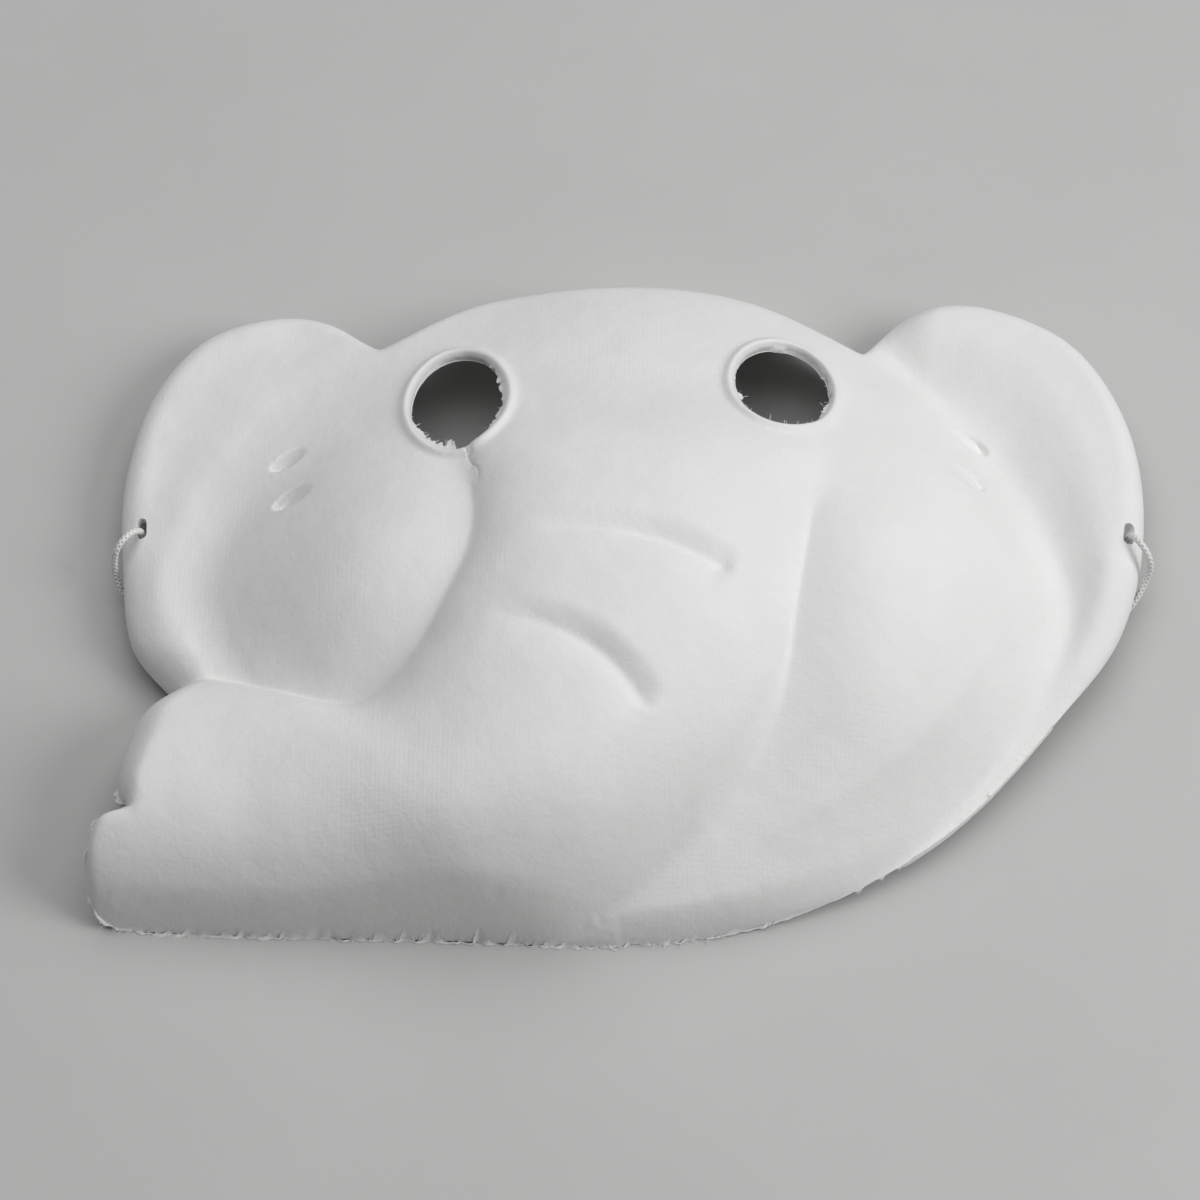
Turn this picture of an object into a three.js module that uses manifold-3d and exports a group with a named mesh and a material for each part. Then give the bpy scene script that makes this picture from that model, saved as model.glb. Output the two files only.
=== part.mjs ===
import * as THREE from 'three';
import { mergeVertices } from 'three/addons/utils/BufferGeometryUtils.js';
import Module from 'manifold-3d';

// A blank mask of moulded paper pulp in the form of an elephant's face, with a thin elastic.
// Millimetres. X runs to the viewer's right, Y to the top of the head, Z out of the face.
// The mask lies face up: the lower edge of its rim rests on z = 0, and its back is open.

const WALL = 1.8;

// Head: a dome on a plan with its own half width to each side. It is arched from the jaw to the
// crown, and its edge stands at one height beside the face and at a lower one at the jaw.
const HEAD = {
  x: 2.5, y: 9, halfLeft: 107.5, halfRight: 100, toCrown: 92, toJaw: 82, height: 40.5,
  edge: 10, jawEdge: 7, jawTop: 0, jawBottom: -50,
  crownPower: 1.55, jawPower: 1.6, crownArch: 1.8, jawArch: 1.7, archRound: 0.75, skirt: 0.6,
};

// Ears: a plate at its own level on each side, with a dish that climbs (or falls) to an outer ridge.
const EARS = {
  left: { level: 16, ridge: -2, blend: 3, topBlend: 11 },
  right: { level: 11, ridge: 5, blend: 2.5, topBlend: 2.5 },
};
const EAR = {
  reach: 49, ridgeAt: 0.65, narrow: 3, wide: 20,
  fall: 7, fallTop: -5, fallBottom: -45, topFrom: 15, topTo: 50,
};

// Between the ears the crown is the head alone: above low to high, fading from middle to side.
const CROWN = { low: 30, high: 60, middle: 15, side: 50 };

// Trunk: ribs that fan round a pivot beside it, one each STEP degrees from FIRST downwards. Its
// root sinks into the forehead, and a shallow groove runs beside its outer edge.
const TRUNK_PIVOT = { x: -105, y: 40 };
const TRUNK_FIRST = 5;
const TRUNK_STEP = 10;
const TRUNK_ROUNDNESS = 2.2;
const TRUNK_BACK_FALL = 1.2;
const TRUNK_SIDE = { from: -0.2, to: 0.6 };
const TRUNK_ROOT = { y: 22, fall: 0.014 };
const TRUNK_BLEND = { low: 1.4, high: 10, from: 14, to: 38 };
const GROOVE = { depth: 3.5, reach: 9, under: 20, top: 34, full: 10 };
const CREASE_END = { inner: -62, outer: -46 };

// Bead round each eye hole.
const BEAD = { gap: 1.5, radius: 1.35, turns: 36, sides: 6 };

// Slots for the elastic near the ears' outer edges.
const SLOT = { width: 2.5, length: 5.6 };

// Elastic: a round cord, tied behind each ear.
const ELASTIC_DIAMETER = 1.5;
const ELASTIC_SIDES = 8;
const ELASTIC_STEPS = 76;
const KNOT = { radius: 2.1, flatness: 0.95 };

// Spacing of the skin's points: along the rim, on an even triangular grid inside it, and along
// wrinkles, dents and the trunk's creases. ROWS are distances inwards from the rim.
const POINTS = { rim: 4.6, rows: [1, 3.2], grid: 5.15, crease: 3.8, wrinkle: 3.4, clear: 0.7 };

function table(columns, rows) {
  return rows.map((row) => Object.fromEntries(columns.map((name, i) => [name, row[i]])));
}

// Rim, clockwise from the crown: plan position, lift above the surface, width over which the
// edge rolls down to it, and 1 where two curves meet in a corner.
const RIM = table(['x', 'y', 'lift', 'roll', 'corner'], [
  [0, 98.6, 0, 7, 0],
  [31, 95, 2, 6, 0],
  [57.2, 78.5, 9, 2.5, 1],
  [69.5, 89.5, 9.5, 4, 0],
  [87, 91, 9.5, 4, 0],
  [108, 80.5, 9, 5, 0],
  [120, 58, 9, 6, 0],
  [122, 30, 9, 7, 0],
  [115, 2, 9, 9, 0],
  [99, -20.6, 9, 6, 0],
  [77.4, -44.5, 6.4, 5, 0],
  [53.4, -60.3, 3.6, 5, 0],
  [27, -69.3, 0.4, 4, 0],
  [-2, -73, 0, 4, 0],
  [-38, -72, 0, 4, 0],
  [-78, -71.5, 0, 3, 0],
  [-106, -70.4, 0, 4, 0],
  [-113.6, -69.3, 2, 3, 0],
  [-116.6, -66.8, 8.5, 2.5, 0],
  [-116.9, -60.5, 17.8, 2.5, 0],
  [-114.3, -54, 22.2, 2.5, 0],
  [-107.6, -51.8, 23.8, 2.5, 1],
  [-111.4, -44, 14, 8, 0],
  [-112.2, -34, 4, 11, 0],
  [-109, -23.5, 2, 10, 0],
  [-101, -15, 4, 8, 1],
  [-112, -2, 7, 11, 0],
  [-115.5, 19, 9, 9, 0],
  [-116.5, 40, 9, 6, 0],
  [-112, 63, 9, 5, 0],
  [-100.5, 80.5, 9, 5, 0],
  [-83.5, 87, 9.5, 4, 0],
  [-70, 85, 9.5, 4, 0],
  [-57.5, 75.8, 9, 2.5, 1],
  [-31, 94, 2, 6, 0],
]);

// Trunk ribs, from the forehead round to the tip: distance of the inner and outer edge from the
// pivot, height of the crest between them, height of the trunk's skin at each edge, and how the
// outer side falls (0.5 round, 1 sloping).
const TRUNK = table(['inner', 'outer', 'crest', 'innerEdge', 'outerEdge', 'side'], [
  [68, 148, 43, 33, 36, 0.8],
  [71, 148.5, 46.5, 35, 37, 0.8],
  [74, 150.5, 48.5, 35.5, 37, 0.8],
  [77, 153, 49.5, 35, 34.5, 0.8],
  [79, 152, 48, 33.5, 27, 0.8],
  [82, 151, 45, 29.5, 10, 0.75],
  [79, 141, 40, 19, 0, 0.6],
  [63, 126, 34.5, 7, 0, 0.5],
  [54, 117, 31, 3, 0, 0.5],
  [51.5, 112, 29.5, 2, 0, 0.5],
  [51, 110, 28.5, 2, 0, 0.5],
  [51, 109, 28, 2, 0, 0.5],
]);

// Cheeks: a swelling of the head on each side of the trunk.
const CHEEKS = table(['x', 'y', 'halfWidth', 'halfHeight', 'rise'], [
  [-58, 4, 24, 34, 6],
  [60, -8, 27, 44, 9.5],
]);

// Wrinkles across the trunk: four points of each crease, width of the steep wall above it, reach
// of the gentle side below it, depth, and the share of the depth at its left end.
const WRINKLES = table(['points', 'above', 'below', 'depth', 'start'], [
  [[[-23, 7.2], [-2.2, 6.6], [11.5, 3.6], [25.3, -2.6]], 6, 3, 2.8, 0.35],
  [[[-29.6, -12.4], [-14, -18], [-2.8, -25.2], [7.1, -37]], 5.6, 5, 2.7, 0.5],
]);

// Temple dents: place, turn in degrees, half length, half width and depth.
const DENTS = table(['x', 'y', 'turn', 'halfLength', 'halfWidth', 'depth'], [
  [-78, 41.1, 32, 4.6, 1.7, 0.8],
  [-76.2, 28.6, 28, 4.6, 2, 0.8],
  [81.9, 53, 146, 4.8, 1.7, 0.8],
  [80.4, 39.4, 150, 4.6, 2, 0.8],
]);

// Eye holes: oval, with their half sizes and their lean in degrees.
const EYES = table(['name', 'x', 'y', 'halfWidth', 'halfHeight', 'lean'], [
  ['left', -38.1, 51.9, 10.9, 16.5, 3],
  ['right', 37.5, 57.2, 11.2, 15.1, -3],
]);

const SLOTS = table(['name', 'x', 'y', 'turn'], [
  ['left', -111.2, 26, 4],
  ['right', 117.7, 26.3, -8],
]);

// Route of the elastic: from the knot behind the left ear up through its slot, over the rim and
// back under it, loosely across the surface inside the hollow, and the same way at the right ear.
const ELASTIC_ROUTE = table(['x', 'y', 'z'], [
  [-107.7, 15.8, 3.4],
  [-109.3, 20, 6],
  [-110.6, 23.9, 9.6],
  [-111.1, 25.3, 12.9],
  [-111.6, 24.6, 15.4],
  [-113, 23, 17.1],
  [-114.7, 21, 17.3],
  [-116.1, 19.4, 15.9],
  [-116.9, 18.4, 13],
  [-117, 16.8, 8.4],
  [-115.6, 14, 5],
  [-112, 11.8, 2.7],
  [-106.8, 10.6, 1.4],
  [-100, 9.2, 0.85],
  [-88, 5.6, 0.8],
  [-70, -1, 0.8],
  [-48, -8.5, 0.8],
  [-24, -11, 0.8],
  [0, -6, 0.8],
  [24, 3, 0.8],
  [46, 9.5, 0.8],
  [68, 11.5, 0.8],
  [88, 10, 0.8],
  [104.5, 8.2, 0.85],
  [110.5, 7.9, 1.5],
  [115.2, 9.6, 3.5],
  [118.9, 12.8, 6],
  [121.3, 16, 9],
  [122.4, 18, 12.7],
  [122, 19.2, 15.5],
  [120.8, 21, 17.2],
  [119.2, 23.3, 17.4],
  [117.9, 25.3, 15.7],
  [117.5, 26.1, 12.9],
  [116.9, 24.9, 9.3],
  [115.4, 19.3, 6],
  [113.6, 14, 3.5],
]);

const KNOTS = table(['name', 'x', 'y', 'z'], [
  ['knot_left', -107, 13.6, 2.3],
  ['knot_right', 112.7, 11.7, 2.3],
]);

const { clamp, degToRad, radToDeg, smoothstep } = THREE.MathUtils;

function softMax(a, b, blend) {
  const near = Math.max(blend - Math.abs(a - b), 0) / blend;
  return Math.max(a, b) + (near * near * blend) / 4;
}

// Cubic through b and c with a and d as the neighbours before and after.
function cubic(a, b, c, d, t) {
  const linear = c - a;
  const square = 2 * a - 5 * b + 4 * c - d;
  const cube = 3 * (b - c) + d - a;
  return b + 0.5 * t * (linear + t * (square + t * cube));
}

// The rim as a closed curve with its lift and roll, sampled evenly between the table's rows.
const RIM_SAMPLES = 24;

function rimAt(position) {
  const count = RIM.length;
  const wrapped = ((position % count) + count) % count;
  const i = Math.floor(wrapped);
  const from = RIM[i];
  const to = RIM[(i + 1) % count];
  const before = RIM[(i + count - 1) % count];
  const after = RIM[(i + 2) % count];
  const point = {};
  for (const key of ['x', 'y', 'lift', 'roll']) {
    const a = from.corner ? 2 * from[key] - to[key] : before[key];
    const d = to.corner ? 2 * to[key] - from[key] : after[key];
    point[key] = cubic(a, from[key], to[key], d, wrapped - i);
  }
  return point;
}

const rimPoints = Array.from({ length: RIM.length * RIM_SAMPLES }, (_, i) => rimAt(i / RIM_SAMPLES));

function insideRim(x, y) {
  let inside = false;
  rimPoints.forEach((a, i) => {
    const b = rimPoints[(i + 1) % rimPoints.length];
    const spans = (a.y > y) !== (b.y > y);
    if (spans && x < a.x + ((y - a.y) * (b.x - a.x)) / (b.y - a.y)) inside = !inside;
  });
  return inside;
}

// Nearest place on the rim: distance inwards from it, negative outside, and the rim's lift and roll there.
function nearestRim(x, y) {
  let best = { distance: Infinity };
  rimPoints.forEach((a, i) => {
    const b = rimPoints[(i + 1) % rimPoints.length];
    const dx = b.x - a.x;
    const dy = b.y - a.y;
    const along = clamp(((x - a.x) * dx + (y - a.y) * dy) / (dx * dx + dy * dy), 0, 1);
    const px = a.x + along * dx;
    const py = a.y + along * dy;
    const distance = Math.hypot(x - px, y - py);
    if (distance < best.distance) {
      best = { distance, a, b, along };
    }
  });
  const mix = (key) => best.a[key] + best.along * (best.b[key] - best.a[key]);
  const inward = insideRim(x, y) ? best.distance : -best.distance;
  return { inward, lift: mix('lift'), roll: mix('roll') };
}

// How far up or down the head a place is: 0 at its middle, 1 at the crown or the jaw.
function headRise(y) {
  const up = y - HEAD.y;
  return up > 0 ? up / HEAD.toCrown : -up / HEAD.toJaw;
}

function headHalf(x) {
  return x < HEAD.x ? HEAD.halfLeft : HEAD.halfRight;
}

function headAlong(y) {
  return headRise(y) ** (y > HEAD.y ? HEAD.crownPower : HEAD.jawPower);
}

// Below 1 on the head's plan and 1 at its edge, where the ears begin.
function headSpread(x, y) {
  return ((x - HEAD.x) / headHalf(x)) ** 2 + headAlong(y);
}

function headHeight(x, y, spread) {
  const edge = HEAD.jawEdge + (HEAD.edge - HEAD.jawEdge) * smoothstep(y, HEAD.jawBottom, HEAD.jawTop);
  const archPower = y > HEAD.y ? HEAD.crownArch : HEAD.jawArch;
  const arch = Math.max(1 - headRise(y) ** archPower, 0) ** HEAD.archRound;
  const half = headHalf(x) * Math.sqrt(Math.max(1 - headAlong(y), 1e-4));
  const left = Math.max(1 - ((x - HEAD.x) / half) ** 2, -1);
  let z = edge + (HEAD.height - edge) * left * (left > 0 ? arch : HEAD.skirt);
  for (const cheek of CHEEKS) {
    const across = (x - cheek.x) / cheek.halfWidth;
    const along = (y - cheek.y) / cheek.halfHeight;
    z += cheek.rise * Math.exp(-across * across - along * along) * clamp(4 * (1 - spread), 0, 1);
  }
  return z;
}

function earPlate(x, y, inward, spread) {
  const side = x < 0 ? EARS.left : EARS.right;
  const past = Math.max(spread - 1, 0) * EAR.reach;
  const width = past + Math.max(inward, 0);
  const climb = smoothstep(past / (width + 1e-6), 0, EAR.ridgeAt);
  const dish = climb * smoothstep(width, EAR.narrow, EAR.wide);
  const fall = EAR.fall * smoothstep(-y, -EAR.fallTop, -EAR.fallBottom);
  const blend = side.blend + (side.topBlend - side.blend) * smoothstep(y, EAR.topFrom, EAR.topTo);
  return { height: side.level - fall + side.ridge * dish, blend };
}

function trunkRib(place, key) {
  const i = Math.floor(place);
  const row = (k) => TRUNK[clamp(k, 0, TRUNK.length - 1)][key];
  return cubic(row(i - 1), row(i), row(i + 1), row(i + 2), place - i);
}

// The trunk's height, and the distance outside its outer edge.
function trunkAt(x, y) {
  const dx = x - TRUNK_PIVOT.x;
  const dy = y - TRUNK_PIVOT.y;
  let angle = radToDeg(Math.atan2(dy, dx));
  if (angle > 90) angle -= 360;
  const place = clamp((TRUNK_FIRST - angle) / TRUNK_STEP, 0, TRUNK.length - 1.001);
  const rib = (key) => trunkRib(place, key);
  const inner = rib('inner');
  const half = (rib('outer') - inner) / 2;
  const across = (Math.hypot(dx, dy) - inner - half) / half;
  const share = smoothstep(across, -1, 1);
  const edge = rib('innerEdge') + (rib('outerEdge') - rib('innerEdge')) * share;
  const off = Math.abs(across);
  const power = 0.5 + (rib('side') - 0.5) * smoothstep(across, TRUNK_SIDE.from, TRUNK_SIDE.to);
  const fall = TRUNK_ROOT.fall * Math.max(y - TRUNK_ROOT.y, 0) ** 2;
  const bowed = edge + (rib('crest') - edge) * Math.max(1 - off ** TRUNK_ROUNDNESS, 0) ** power;
  const outside = edge - TRUNK_BACK_FALL * (off - 1) * half;
  return { height: (off < 1 ? bowed : outside) - fall, beside: (across - 1) * half };
}

function grooveDepth(beside, y) {
  if (beside < -GROOVE.under) return 0;
  return GROOVE.depth * Math.exp(-Math.max(beside, 0) / GROOVE.reach) * smoothstep(-y, -GROOVE.top, -GROOVE.full);
}

const wrinkleCurves = WRINKLES.map((wrinkle) => {
  const points = wrinkle.points.map(([x, y]) => new THREE.Vector2(x, y));
  return new THREE.SplineCurve(points);
});
const wrinklePoints = wrinkleCurves.map((curve) => curve.getPoints(60));

function wrinkleDepth(x, y) {
  return WRINKLES.reduce((sum, wrinkle, k) => {
    const points = wrinklePoints[k];
    const last = points.length - 1;
    let near = 0;
    points.forEach((point, i) => {
      if (Math.hypot(x - point.x, y - point.y) < Math.hypot(x - points[near].x, y - points[near].y)) near = i;
    });
    const dx = x - points[near].x;
    const dy = y - points[near].y;
    const from = points[Math.max(near - 1, 0)];
    const to = points[Math.min(near + 1, last)];
    const upper = (to.x - from.x) * dy > (to.y - from.y) * dx;
    const far = Math.hypot(dx, dy);
    const at = near / last;
    const grow = wrinkle.start + (1 - wrinkle.start) * smoothstep(at, 0, 0.7);
    const taper = grow * smoothstep(at, 0, 0.25) * smoothstep(1 - at, 0, 0.12);
    const wall = Math.max(1 - far / wrinkle.above, 0) ** 1.4;
    return sum + wrinkle.depth * taper * (upper ? wall : Math.exp(-far / wrinkle.below));
  }, 0);
}

function dentDepth(x, y) {
  return DENTS.reduce((sum, dent) => {
    const turn = degToRad(dent.turn);
    const dx = x - dent.x;
    const dy = y - dent.y;
    const along = (Math.cos(turn) * dx + Math.sin(turn) * dy) / dent.halfLength;
    const across = (Math.cos(turn) * dy - Math.sin(turn) * dx) / dent.halfWidth;
    return sum + dent.depth * Math.exp(-(along ** 4) - across ** 2);
  }, 0);
}

// Height of the pulp's outer skin, without the small dents, over a place in the plan.
function formHeight(x, y) {
  const { inward, lift, roll } = nearestRim(x, y);
  const spread = headSpread(x, y);
  const ear = earPlate(x, y, inward, spread);
  const trunk = trunkAt(x, y);
  const head = headHeight(x, y, spread);
  const eared = softMax(head, ear.height, ear.blend);
  const outward = smoothstep(Math.abs(x), CROWN.middle, CROWN.side);
  const between = smoothstep(y, CROWN.low, CROWN.high) * (1 - outward);
  const face = head + (eared - head) * (1 - between) - grooveDepth(trunk.beside, y);
  const rise = smoothstep(y, TRUNK_BLEND.from, TRUNK_BLEND.to);
  const blend = TRUNK_BLEND.low + (TRUNK_BLEND.high - TRUNK_BLEND.low) * rise;
  const full = softMax(face, trunk.height, blend) - wrinkleDepth(x, y);
  const rolled = 1 - clamp(inward / roll, 0, 1);
  const low = lift + (Math.min(lift, full) - lift) * smoothstep(inward, 0, 3 * roll);
  return low + Math.max(full - low, 0) * Math.sqrt(1 - rolled * rolled);
}

// Points of the skin in plan. The rim comes first, then the lines that the form turns on, then
// the grid where there is room for it.
const planPoints = [];

function addPoint(x, y, clear, rim = null) {
  const crowded = planPoints.some((point) => Math.hypot(point.x - x, point.y - y) < clear);
  if (!crowded) planPoints.push({ x, y, rim });
}

function rimInward(position) {
  const before = rimAt(position - 0.02);
  const after = rimAt(position + 0.02);
  const length = Math.hypot(after.x - before.x, after.y - before.y);
  return { x: (after.y - before.y) / length, y: (before.x - after.x) / length };
}

const rimPositions = RIM.flatMap((row, i) => {
  const to = RIM[(i + 1) % RIM.length];
  const count = Math.max(1, Math.round(Math.hypot(to.x - row.x, to.y - row.y) / POINTS.rim));
  return Array.from({ length: count }, (_, k) => i + k / count);
});

rimPositions.forEach((position) => {
  const point = rimAt(position);
  addPoint(point.x, point.y, 0, position);
});

POINTS.rows.forEach((distance, k) => {
  rimPositions.forEach((position, i) => {
    const next = i + 1 < rimPositions.length ? rimPositions[i + 1] : RIM.length;
    const between = k % 2 ? position : (position + next) / 2;
    const point = rimAt(between);
    const inward = rimInward(between);
    const x = point.x + distance * inward.x;
    const y = point.y + distance * inward.y;
    if (nearestRim(x, y).inward > 0.9 * distance) addPoint(x, y, Math.min(0.9 * distance, 2));
  });
});

wrinkleCurves.forEach((curve, k) => {
  const { above, below } = WRINKLES[k];
  const count = Math.round(curve.getLength() / POINTS.wrinkle);
  [0, 0.45 * above, -0.6 * below, 1.05 * above].forEach((off, row) => {
    for (let i = 0; i <= count; i += 1) {
      const at = clamp((i + 0.5 * (row % 2)) / count, 0, 1);
      const point = curve.getPointAt(at);
      const along = curve.getTangentAt(at);
      addPoint(point.x - off * along.y, point.y + off * along.x, 1.4);
    }
  });
});

DENTS.forEach((dent) => {
  const turn = degToRad(dent.turn);
  for (const across of [0, -0.9, 0.9, -1.9, 1.9]) {
    for (const along of [-1.1, -0.6, 0, 0.6, 1.1]) {
      const u = along * dent.halfLength;
      const v = across * dent.halfWidth;
      const right = u * Math.cos(turn) - v * Math.sin(turn);
      const up = u * Math.sin(turn) + v * Math.cos(turn);
      addPoint(dent.x + right, dent.y + up, 1);
    }
  }
});

for (const edge of ['inner', 'outer']) {
  for (let angle = TRUNK_FIRST; angle > CREASE_END[edge]; ) {
    const radius = trunkRib((TRUNK_FIRST - angle) / TRUNK_STEP, edge);
    const x = TRUNK_PIVOT.x + radius * Math.cos(degToRad(angle));
    const y = TRUNK_PIVOT.y + radius * Math.sin(degToRad(angle));
    addPoint(x, y, 0.6 * POINTS.crease);
    angle -= radToDeg(POINTS.crease / radius);
  }
}

const grid = new THREE.Vector2(POINTS.grid, POINTS.grid * Math.sqrt(0.75));
for (let row = -24; row <= 24; row += 1) {
  for (let column = -30; column <= 30; column += 1) {
    const x = (column + 0.5 * Math.abs(row % 2)) * grid.x;
    const y = row * grid.y + HEAD.y;
    if (nearestRim(x, y).inward > 1.2 * POINTS.rows[1]) addPoint(x, y, POINTS.clear * POINTS.grid);
  }
}

// Triangles between the points: each point is put in turn, and the triangles whose circles hold
// it are opened and closed again round it.
function circle(points, corners) {
  const [a, b, c] = corners.map((i) => points[i]);
  const turn = 2 * ((b.x - a.x) * (c.y - a.y) - (b.y - a.y) * (c.x - a.x));
  const ab = (b.x - a.x) ** 2 + (b.y - a.y) ** 2;
  const ac = (c.x - a.x) ** 2 + (c.y - a.y) ** 2;
  const x = ((c.y - a.y) * ab - (b.y - a.y) * ac) / turn;
  const y = ((b.x - a.x) * ac - (c.x - a.x) * ab) / turn;
  return { corners, x: a.x + x, y: a.y + y, square: x * x + y * y };
}

function triangulate(planned) {
  const far = 4000;
  const points = [...planned, { x: -far, y: -far }, { x: far, y: -far }, { x: 0, y: far }];
  const count = planned.length;
  let circles = [circle(points, [count, count + 1, count + 2])];
  planned.forEach((point, i) => {
    const edges = new Map();
    circles = circles.filter((held) => {
      if ((point.x - held.x) ** 2 + (point.y - held.y) ** 2 >= held.square) return true;
      const [a, b, c] = held.corners;
      for (const [from, to] of [[a, b], [b, c], [c, a]]) {
        if (!edges.delete(`${to} ${from}`)) edges.set(`${from} ${to}`, [from, to]);
      }
      return false;
    });
    for (const [from, to] of edges.values()) circles.push(circle(points, [from, to, i]));
  });
  return circles.map((held) => held.corners).filter((corners) => {
    if (corners.some((i) => i >= count)) return false;
    const [a, b, c] = corners.map((i) => points[i]);
    return insideRim((a.x + b.x + c.x) / 3, (a.y + b.y + c.y) / 3);
  });
}

const planTriangles = triangulate(planPoints);

// Outer and inner skin. The inner one lies a wall's thickness behind the outer, and along the
// rim the wall ends in a level face.
const SLOPE_STEP = 1.2;

function innerPoint(point) {
  const z = formHeight(point.x, point.y);
  if (point.rim !== null) {
    const inward = rimInward(point.rim);
    return [point.x + WALL * inward.x, point.y + WALL * inward.y, z];
  }
  const slopeX = formHeight(point.x + SLOPE_STEP, point.y) - formHeight(point.x - SLOPE_STEP, point.y);
  const slopeY = formHeight(point.x, point.y + SLOPE_STEP) - formHeight(point.x, point.y - SLOPE_STEP);
  const normal = new THREE.Vector3(-slopeX, -slopeY, 2 * SLOPE_STEP).normalize();
  return [point.x - WALL * normal.x, point.y - WALL * normal.y, z - WALL * normal.z];
}

function shellGeometry() {
  const count = planPoints.length;
  const dentAt = (p) => (p.rim === null ? dentDepth(p.x, p.y) : 0);
  const outer = planPoints.map((p) => [p.x, p.y, formHeight(p.x, p.y) - dentAt(p)]);
  const inner = planPoints.map(innerPoint);
  const triangles = [];
  const edges = new Map();
  for (const [a, b, c] of planTriangles) {
    triangles.push(a, b, c, count + a, count + c, count + b);
    for (const [i, j] of [[a, b], [b, c], [c, a]]) edges.set(`${i} ${j}`, [i, j]);
  }
  for (const [i, j] of edges.values()) {
    if (!edges.has(`${j} ${i}`)) triangles.push(i, count + i, j, j, count + i, count + j);
  }
  const geometry = new THREE.BufferGeometry();
  geometry.setAttribute('position', new THREE.Float32BufferAttribute([...outer, ...inner].flat(), 3));
  geometry.setIndex(triangles);
  return geometry;
}

// Bead round an eye: a closed round tube that follows the skin.
function beadGeometry(eye) {
  const lean = degToRad(eye.lean);
  const ring = (turn, grow) => {
    const u = (eye.halfWidth + BEAD.gap + grow) * Math.cos(turn);
    const v = (eye.halfHeight + BEAD.gap + grow) * Math.sin(turn);
    const x = eye.x + u * Math.cos(lean) - v * Math.sin(lean);
    const y = eye.y + u * Math.sin(lean) + v * Math.cos(lean);
    return new THREE.Vector3(x, y, formHeight(x, y));
  };
  const positions = [];
  const triangles = [];
  for (let i = 0; i < BEAD.turns; i += 1) {
    const turn = (2 * Math.PI * i) / BEAD.turns;
    const centre = ring(turn, 0);
    const outward = ring(turn, 1).sub(ring(turn, -1)).normalize();
    const along = ring(turn + 0.05, 0).sub(ring(turn - 0.05, 0)).normalize();
    const up = new THREE.Vector3().crossVectors(outward, along).normalize();
    for (let j = 0; j < BEAD.sides; j += 1) {
      const round = (2 * Math.PI * j) / BEAD.sides;
      const point = centre.clone();
      point.addScaledVector(outward, BEAD.radius * Math.cos(round));
      point.addScaledVector(up, BEAD.radius * Math.sin(round));
      positions.push(point.x, point.y, point.z);
      const [a, b] = [i, (i + 1) % BEAD.turns].map((k) => k * BEAD.sides + j);
      const [c, d] = [i, (i + 1) % BEAD.turns].map((k) => k * BEAD.sides + ((j + 1) % BEAD.sides));
      triangles.push(a, b, c, c, b, d);
    }
  }
  const geometry = new THREE.BufferGeometry();
  geometry.setAttribute('position', new THREE.Float32BufferAttribute(positions, 3));
  geometry.setIndex(triangles);
  return geometry;
}

function columnGeometry(shape, x, y, turn = 0) {
  const geometry = new THREE.ExtrudeGeometry(shape, { depth: 90, bevelEnabled: false, curveSegments: 20 });
  geometry.rotateZ(degToRad(turn));
  return geometry.translate(x, y, -10);
}

function eyeColumn(eye) {
  const shape = new THREE.Shape().absellipse(0, 0, eye.halfWidth, eye.halfHeight, 0, 2 * Math.PI);
  return columnGeometry(shape, eye.x, eye.y, eye.lean);
}

function slotColumn(slot) {
  const end = SLOT.width / 2;
  const side = SLOT.length / 2 - end;
  const shape = new THREE.Shape();
  shape.absarc(0, side, end, 0, Math.PI);
  shape.absarc(0, -side, end, Math.PI, 2 * Math.PI);
  return columnGeometry(shape, slot.x, slot.y, slot.turn);
}

const wasm = await Module();
wasm.setup();

function solid(geometry) {
  geometry.deleteAttribute('normal');
  geometry.deleteAttribute('uv');
  const merged = mergeVertices(geometry, 1e-4);
  return new wasm.Manifold(new wasm.Mesh({
    numProp: 3,
    vertProperties: merged.attributes.position.array,
    triVerts: new Uint32Array(merged.index.array),
  }));
}

function geometryOf(manifold) {
  const mesh = manifold.getMesh();
  const geometry = new THREE.BufferGeometry();
  geometry.setAttribute('position', new THREE.BufferAttribute(mesh.vertProperties, 3));
  geometry.setIndex(new THREE.BufferAttribute(mesh.triVerts, 1));
  geometry.computeVertexNormals();
  return geometry;
}

let shell = solid(shellGeometry());
for (const eye of EYES) shell = shell.add(solid(beadGeometry(eye)));
for (const eye of EYES) shell = shell.subtract(solid(eyeColumn(eye)));
for (const slot of SLOTS) shell = shell.subtract(solid(slotColumn(slot)));

function elasticGeometry() {
  const section = new THREE.Shape();
  const radius = ELASTIC_DIAMETER / 2;
  for (let i = 0; i < ELASTIC_SIDES; i += 1) {
    const turn = (2 * Math.PI * i) / ELASTIC_SIDES;
    if (i === 0) section.moveTo(radius, 0);
    else section.lineTo(radius * Math.cos(turn), radius * Math.sin(turn));
  }
  const points = ELASTIC_ROUTE.map(({ x, y, z }) => new THREE.Vector3(x, y, z));
  const extrudePath = new THREE.CatmullRomCurve3(points, false, 'centripetal');
  return new THREE.ExtrudeGeometry(section, { steps: ELASTIC_STEPS, extrudePath, bevelEnabled: false });
}

const pulp = new THREE.MeshStandardMaterial({ color: 0xe9e9e7, roughness: 0.92, metalness: 0 });
const rubberThread = new THREE.MeshStandardMaterial({ color: 0xf0f0ee, roughness: 0.8, metalness: 0 });

const maskShell = new THREE.Mesh(geometryOf(shell), pulp);
maskShell.name = 'mask_shell';

// The origin is the middle of the shell's footprint.
maskShell.geometry.computeBoundingBox();
const footprint = maskShell.geometry.boundingBox.getCenter(new THREE.Vector3());

const elastic = new THREE.Mesh(elasticGeometry(), rubberThread);
elastic.name = 'elastic_cord';

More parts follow.
